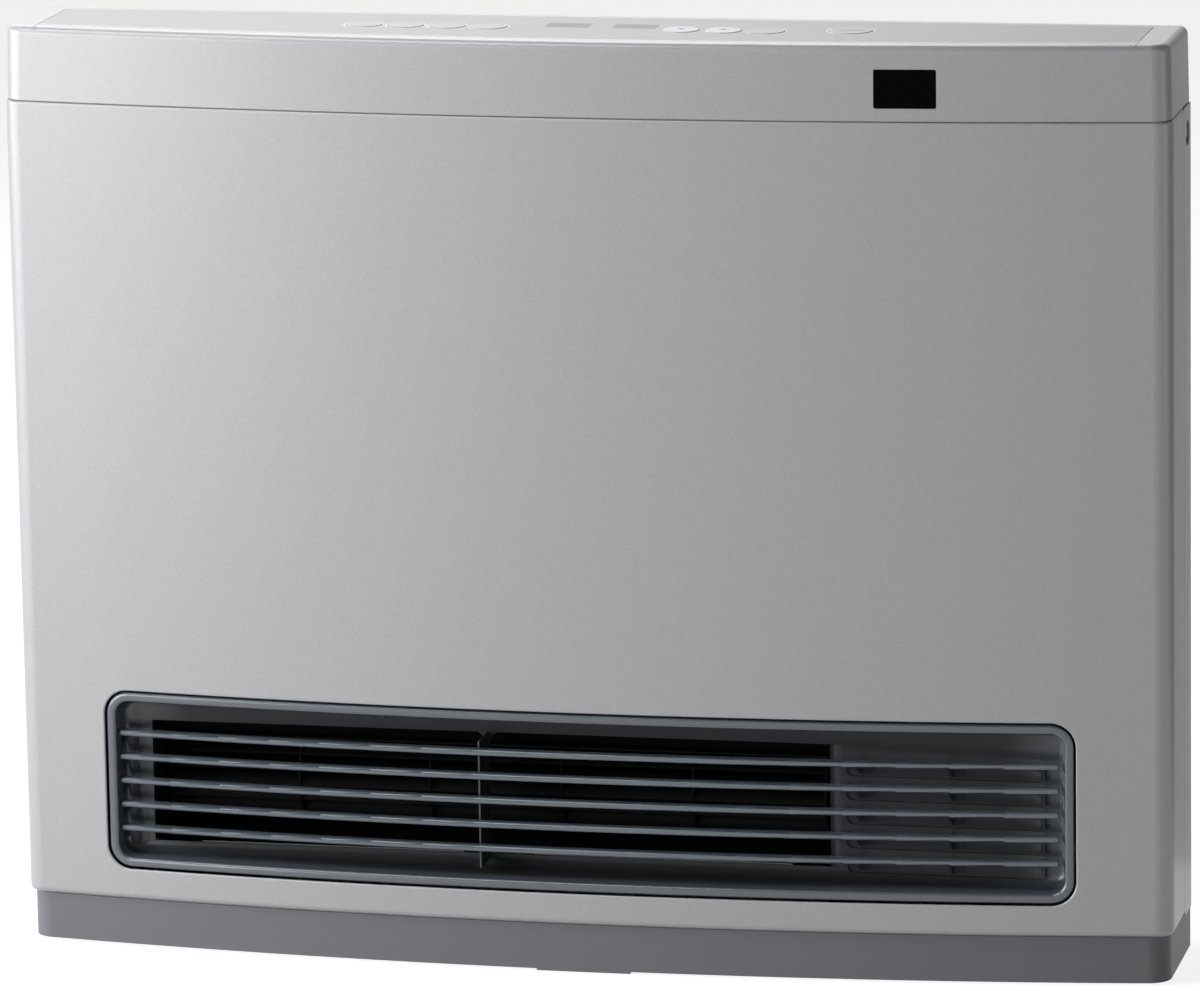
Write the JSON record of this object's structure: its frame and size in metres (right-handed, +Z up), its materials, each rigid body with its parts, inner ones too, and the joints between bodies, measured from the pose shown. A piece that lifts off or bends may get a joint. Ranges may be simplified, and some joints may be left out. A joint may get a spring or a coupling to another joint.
{
  "type": "gas convector heater",
  "caption": "Free-standing gas convector heater with a bowed silver front, a louvred warm-air outlet low down, touch keys on top and a cross-flow fan behind the outlet.",
  "frame": {"origin": "on the floor, in the middle of the heater's width and depth", "axes": "+X to the right as seen from the room, -Y towards the room, +Z up"},
  "size_m": [0.75, 0.1714, 0.6004],
  "materials": {
    "silver_paint": "satin metallic flake",
    "cover_paint": "satin metallic flake",
    "overlay_film": "fine matt printed film",
    "key_grey": "satin",
    "key_white": "satin",
    "display_black": "gloss",
    "lcd_grey": "gloss",
    "indicator_clear": "clear",
    "plinth_grey": "moulded, fine grain",
    "rubber_black": "matt",
    "louvre_grey": "satin, moulded",
    "bare_sheet": "zinc-coated sheet",
    "duct_black": "matt black with bare cut edges",
    "fan_black": "matt black",
    "steel": "plain",
    "bearing_brass": "turned",
    "burner_steel": "pressed sheet",
    "valve_cast": "die cast",
    "rod_ceramic": "glazed",
    "board_green": "circuit board",
    "filter_plastic": "moulded",
    "inner_plastic": "moulded"
  },
  "bodies": {
    "cabinet": {"base_pan": "bare_sheet", "board_tray": "inner_plastic", "burners": "burner_steel", "case_screws": "steel", "combustion_chamber": "bare_sheet", "control_overlay": "overlay_film", "cord_gland": "rubber_black", "display_window": "display_black", "duct_ceiling": "duct_black", "duct_end_left": "duct_black", "duct_end_right": "duct_black", "fan_bearing": "bearing_brass", "fan_motor": "steel", "fan_scroll": "duct_black", "feet": "rubber_black", "flame_rod": "rod_ceramic", "front_panel": "silver_paint", "gas_inlet": "bearing_brass", "gas_manifold": "bearing_brass", "gas_pipe": "burner_steel", "gas_valve": "valve_cast", "heat_shield": "bare_sheet", "igniter": "inner_plastic", "indicator_leds": "indicator_clear", "key_board": "board_green", "key_switches": "inner_plastic", "lcd_windows": "lcd_grey", "louvre_bezel": "louvre_grey", "louvre_blade_1": "louvre_grey", "louvre_blade_2": "louvre_grey", "louvre_blade_3": "louvre_grey", "louvre_blade_4": "louvre_grey", "louvre_blade_5": "louvre_grey", "louvre_stay": "louvre_grey", "main_board": "board_green", "manifold_pipe": "burner_steel", "motor_bracket": "bare_sheet", "overheat_switch": "inner_plastic", "plinth": "plinth_grey", "rear_case": "silver_paint", "room_thermistor": "inner_plastic", "spark_electrode": "rod_ceramic", "top_cover": "cover_paint", "transformer": "steel"},
    "mode_key_1": {"mode_key_1": "key_grey"},
    "mode_key_2": {"mode_key_2": "key_grey"},
    "mode_key_3": {"mode_key_3": "key_grey"},
    "mode_key_4": {"mode_key_4": "key_grey"},
    "down_key": {"down_key": "key_white"},
    "up_key": {"up_key": "key_white"},
    "timer_key": {"timer_key": "key_grey"},
    "power_key": {"power_key": "key_grey"},
    "fan": {"fan_rotor": "fan_black", "fan_shaft": "steel"},
    "filter_left": {"filter_left": "filter_plastic"},
    "filter_right": {"filter_right": "filter_plastic"}
  },
  "joints": [
    {"name": "mode_key_1_press", "type": "slide", "parent": "cabinet", "child": "mode_key_1", "axis": [0, 0, -1], "range_m": [0, 0.0008], "stiffness_N_per_m": 1500},
    {"name": "mode_key_2_press", "type": "slide", "parent": "cabinet", "child": "mode_key_2", "axis": [0, 0, -1], "range_m": [0, 0.0008], "stiffness_N_per_m": 1500},
    {"name": "mode_key_3_press", "type": "slide", "parent": "cabinet", "child": "mode_key_3", "axis": [0, 0, -1], "range_m": [0, 0.0008], "stiffness_N_per_m": 1500},
    {"name": "mode_key_4_press", "type": "slide", "parent": "cabinet", "child": "mode_key_4", "axis": [0, 0, -1], "range_m": [0, 0.0008], "stiffness_N_per_m": 1500},
    {"name": "down_key_press", "type": "slide", "parent": "cabinet", "child": "down_key", "axis": [0, 0, -1], "range_m": [0, 0.0008], "stiffness_N_per_m": 1500},
    {"name": "up_key_press", "type": "slide", "parent": "cabinet", "child": "up_key", "axis": [0, 0, -1], "range_m": [0, 0.0008], "stiffness_N_per_m": 1500},
    {"name": "timer_key_press", "type": "slide", "parent": "cabinet", "child": "timer_key", "axis": [0, 0, -1], "range_m": [0, 0.0008], "stiffness_N_per_m": 1500},
    {"name": "power_key_press", "type": "slide", "parent": "cabinet", "child": "power_key", "axis": [0, 0, -1], "range_m": [0, 0.0008], "stiffness_N_per_m": 1500},
    {"name": "fan_spin", "type": "hinge", "parent": "cabinet", "child": "fan", "pos_m": [0, 0.012, 0.108], "axis": [1, 0, 0], "continuous": true},
    {"name": "filter_left_lift", "type": "slide", "parent": "cabinet", "child": "filter_left", "axis": [0, 0, 1], "range_m": [0, 0.3]},
    {"name": "filter_right_lift", "type": "slide", "parent": "cabinet", "child": "filter_right", "axis": [0, 0, 1], "range_m": [0, 0.3]}
  ]
}
